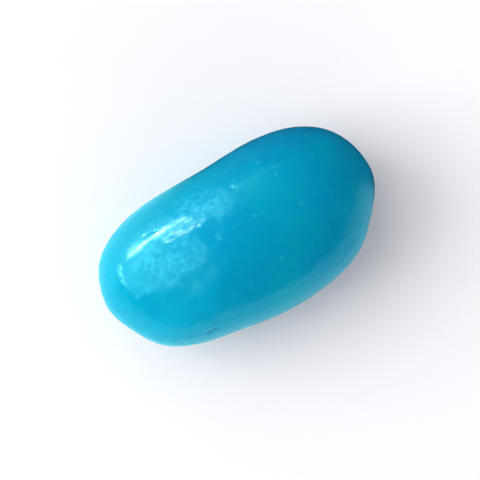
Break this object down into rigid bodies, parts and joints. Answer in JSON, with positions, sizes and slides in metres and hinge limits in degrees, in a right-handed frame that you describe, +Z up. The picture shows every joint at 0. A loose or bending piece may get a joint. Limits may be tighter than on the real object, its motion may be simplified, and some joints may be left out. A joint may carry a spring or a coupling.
{
  "type": "jelly bean",
  "caption": "Small bean-shaped soft sweet with rounded ends, one straight flank and a smooth glossy sugar coat, lying on its side.",
  "frame": {"origin": "on the surface that the bean lies on, under the middle of its box", "axes": "+X along the bean's long axis towards its slightly wider end, +Y out of its straight flank, +Z up"},
  "size_m": [0.022, 0.0126, 0.0116],
  "materials": {
    "sugar_coat": "polished blue sugar coat, waxy gloss with fine pits and faint pale specks, slightly translucent"
  },
  "bodies": {
    "root": {"bean": "sugar_coat"}
  },
  "joints": []
}
